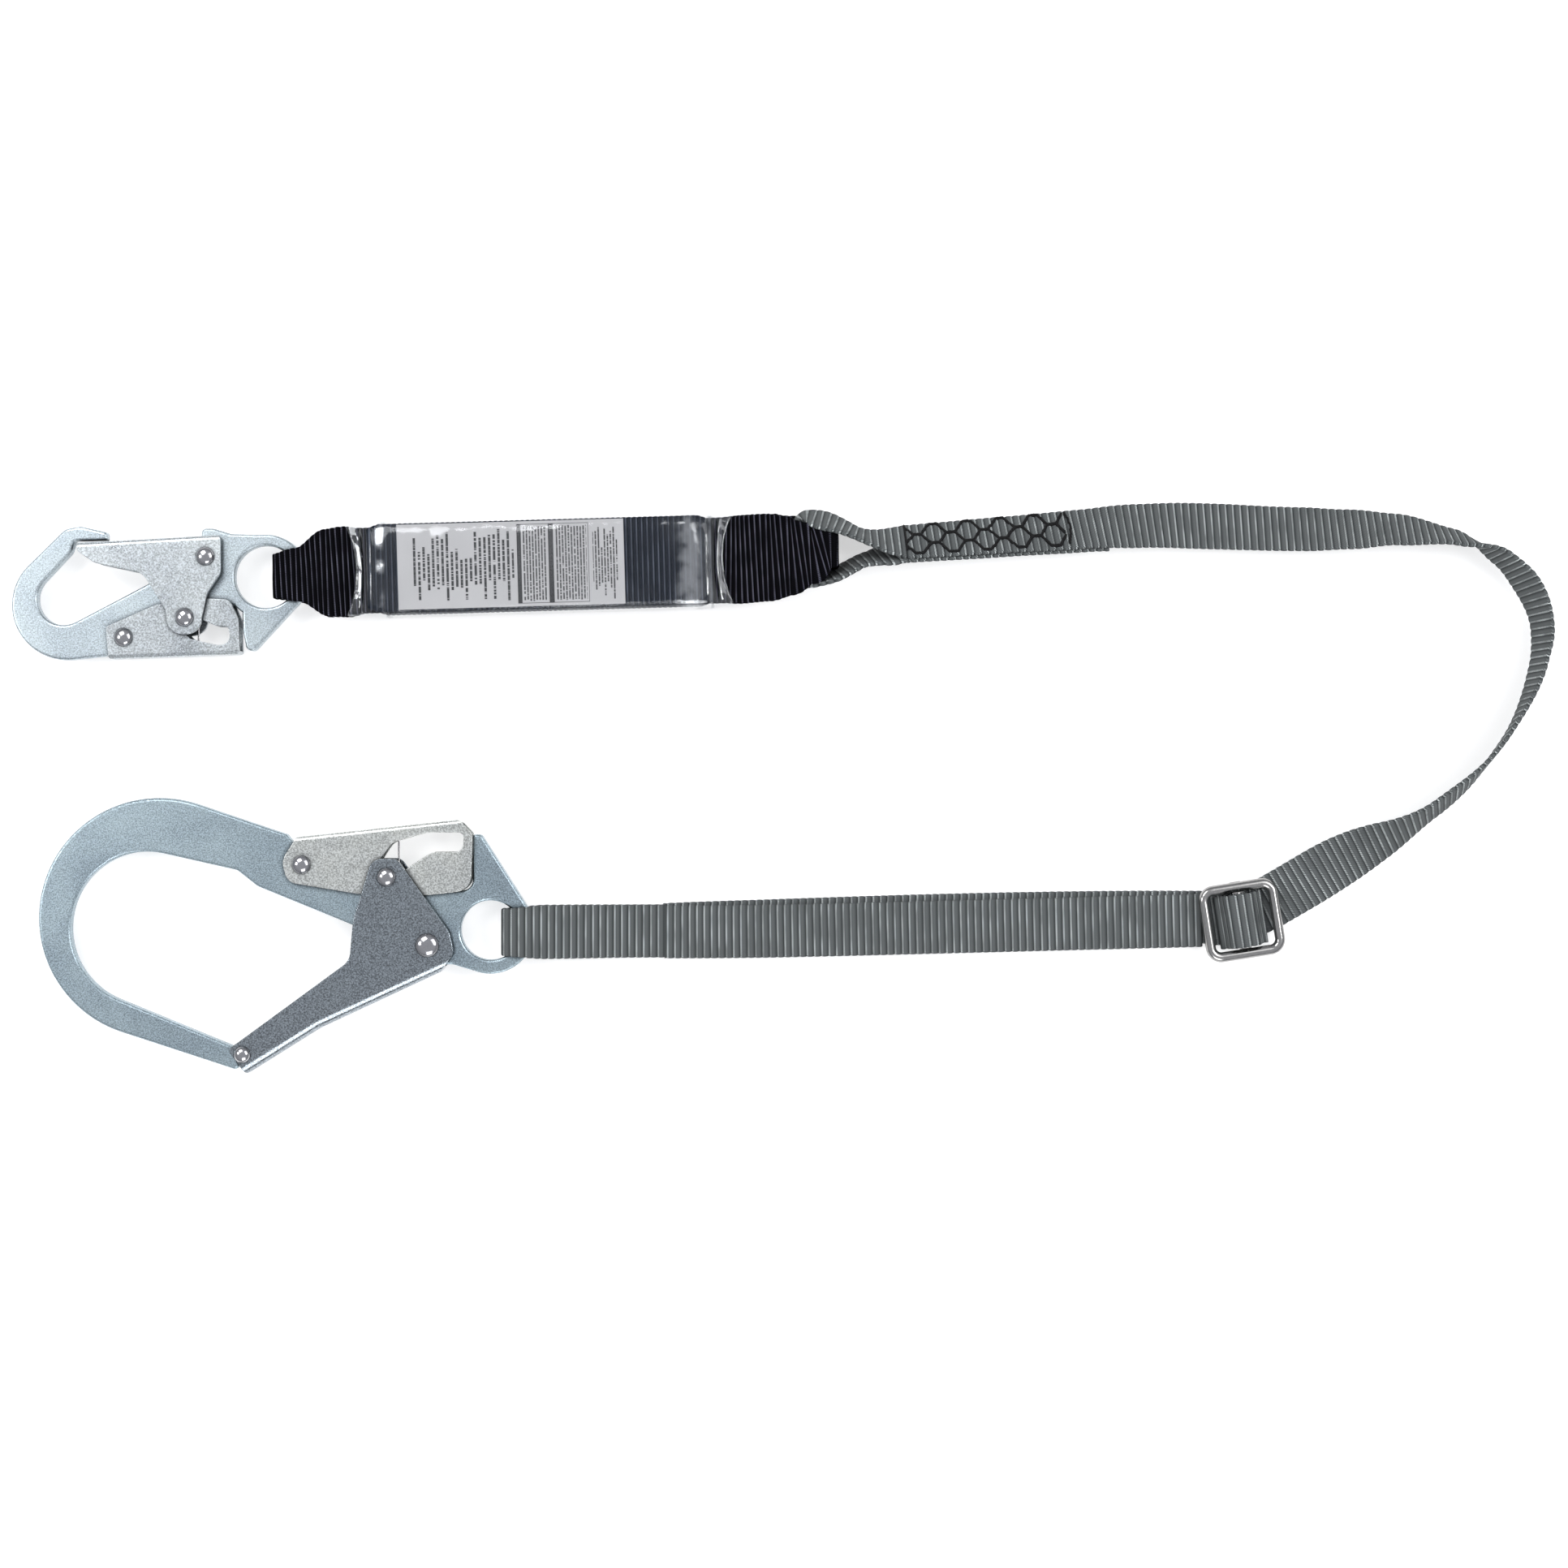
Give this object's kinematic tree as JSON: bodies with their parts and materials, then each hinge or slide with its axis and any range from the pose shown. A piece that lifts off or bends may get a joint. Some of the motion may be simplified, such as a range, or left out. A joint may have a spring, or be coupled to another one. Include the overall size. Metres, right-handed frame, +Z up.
{
  "type": "shock absorbing lanyard",
  "caption": "Fall arrest lanyard: folded tear webbing energy absorber in a clear sleeve, adjustable flat webbing leg, double locking snap hook and large scaffold hook.",
  "frame": {"origin": "middle of the footprint of the hooks, pack and adjuster, on the surface that the lanyard lies on", "axes": "+X from the hooks towards the far bend of the webbing, +Y from the scaffold hook towards the energy absorber, +Z up from the surface"},
  "size_m": [0.7263, 0.2731, 0.027],
  "materials": {
    "zinc_steel": "satin zinc plated forged and pressed steel",
    "gate_steel": "darker, shinier plated pressed steel",
    "rivet_steel": "satin zinc plated rivet heads",
    "spring_steel": "bright drawn wire",
    "adjuster_steel": "satin plated bent rod",
    "grey_webbing": "woven polyester, cross ribs and light selvage",
    "black_webbing": "woven black webbing, fine ribs",
    "lining_webbing": "dark olive wear lining, fine weave",
    "tear_webbing": "black tear webbing, ribbed",
    "clear_film": "clear shrink film, wrinkled",
    "label_paper": null,
    "black_thread": "bonded black thread"
  },
  "bodies": {
    "absorber": {"clear_sleeve": "clear_film", "tear_web_lower": "tear_webbing", "tear_web_upper": "tear_webbing", "backup_web": "tear_webbing", "label_card": "label_paper", "hook_end_bartack": "black_thread", "leg_end_bartack": "black_thread", "hook_end_loop": "black_webbing", "leg_end_loop": "black_webbing", "loop_wear_pad": "lining_webbing"},
    "leg": {"leg_webbing": "grey_webbing", "leg_eye_loop": "grey_webbing", "eye_end_lap": "grey_webbing", "eye_stitching": "black_thread", "return_web_top": "grey_webbing", "return_web_bottom": "grey_webbing", "hook_eye_turn": "grey_webbing"},
    "snap_hook": {"snap_hook_body": "zinc_steel"},
    "snap_gate": {"snap_gate": "zinc_steel", "snap_gate_pivot_rivet": "rivet_steel", "snap_gate_lock_rivet": "rivet_steel", "snap_lock_roller": "rivet_steel", "snap_torsion_spring": "spring_steel"},
    "snap_lever": {"snap_lock_lever": "zinc_steel", "snap_lever_rivet": "rivet_steel"},
    "rebar_hook": {"rebar_hook_body": "zinc_steel"},
    "rebar_gate": {"rebar_gate": "gate_steel", "rebar_gate_pivot_rivet": "rivet_steel", "rebar_gate_lock_rivet": "rivet_steel", "rebar_gate_nose_rivet": "rivet_steel", "rebar_lock_roller": "rivet_steel", "rebar_torsion_spring": "spring_steel"},
    "rebar_lever": {"rebar_lock_lever": "zinc_steel", "rebar_lever_rivet": "rivet_steel"},
    "adjuster": {"adjuster_frame": "adjuster_steel"},
    "adjuster_bar": {"adjuster_bar": "adjuster_steel", "adjuster_bar_wrap": "grey_webbing", "adjuster_hump": "grey_webbing"}
  },
  "joints": [
    {"name": "leg_swing", "type": "hinge", "parent": "absorber", "child": "leg", "pos_m": [0.0724, 0.1143, 0.0135], "axis": [0, 0, 1], "range_deg": [-8, 45], "deforming": ["leg_eye_loop"]},
    {"name": "snap_hook_flip", "type": "hinge", "parent": "absorber", "child": "snap_hook", "pos_m": [-0.1631, 0.10049, 0.0096], "axis": [0, 1, 0], "range_deg": [-60, 60], "deforming": ["hook_end_loop"]},
    {"name": "snap_gate_hinge", "type": "hinge", "parent": "snap_hook", "child": "snap_gate", "pos_m": [-0.20814, 0.10981, 0.0096], "axis": [0, 0, 1], "range_deg": [0, 29], "stiffness_Nm_per_rad": 0.08, "springref_deg": -20.05, "deforming": ["snap_torsion_spring"]},
    {"name": "snap_lock_hinge", "type": "hinge", "parent": "snap_hook", "child": "snap_lever", "pos_m": [-0.24725, 0.07169, 0.0096], "axis": [0, 0, 1], "range_deg": [0, 8.3], "stiffness_Nm_per_rad": 0.05, "springref_deg": -11.46, "deforming": ["snap_torsion_spring"]},
    {"name": "rebar_hook_flip", "type": "hinge", "parent": "leg", "child": "rebar_hook", "pos_m": [-0.05664, -0.06699, 0.0096], "axis": [0, 1, 0], "range_deg": [-60, 60], "deforming": ["hook_eye_turn"]},
    {"name": "rebar_gate_hinge", "type": "hinge", "parent": "rebar_hook", "child": "rebar_gate", "pos_m": [-0.10342, -0.07384, 0.0096], "axis": [0, 0, -1], "range_deg": [0, 42], "stiffness_Nm_per_rad": 0.1, "springref_deg": -20.05, "deforming": ["rebar_torsion_spring"]},
    {"name": "rebar_lock_hinge", "type": "hinge", "parent": "rebar_hook", "child": "rebar_lever", "pos_m": [-0.16313, -0.0358, 0.0096], "axis": [0, 0, -1], "range_deg": [0, 10.7], "stiffness_Nm_per_rad": 0.05, "springref_deg": -11.46, "deforming": ["rebar_torsion_spring"]},
    {"name": "adjuster_slide", "type": "slide", "parent": "leg", "child": "adjuster", "axis": [-0.9997, -0.0256, 0], "range_m": [0, 0.2]},
    {"name": "adjuster_bar_slide", "type": "slide", "parent": "adjuster", "child": "adjuster_bar", "axis": [0.9877, 0.1564, 0], "range_m": [-0.0025, 0.0025]}
  ],
  "couplings": [
    {"joint": "snap_lock_hinge", "follows": "snap_gate_hinge", "ratio": 0.28},
    {"joint": "rebar_lock_hinge", "follows": "rebar_gate_hinge", "ratio": 0.25}
  ]
}
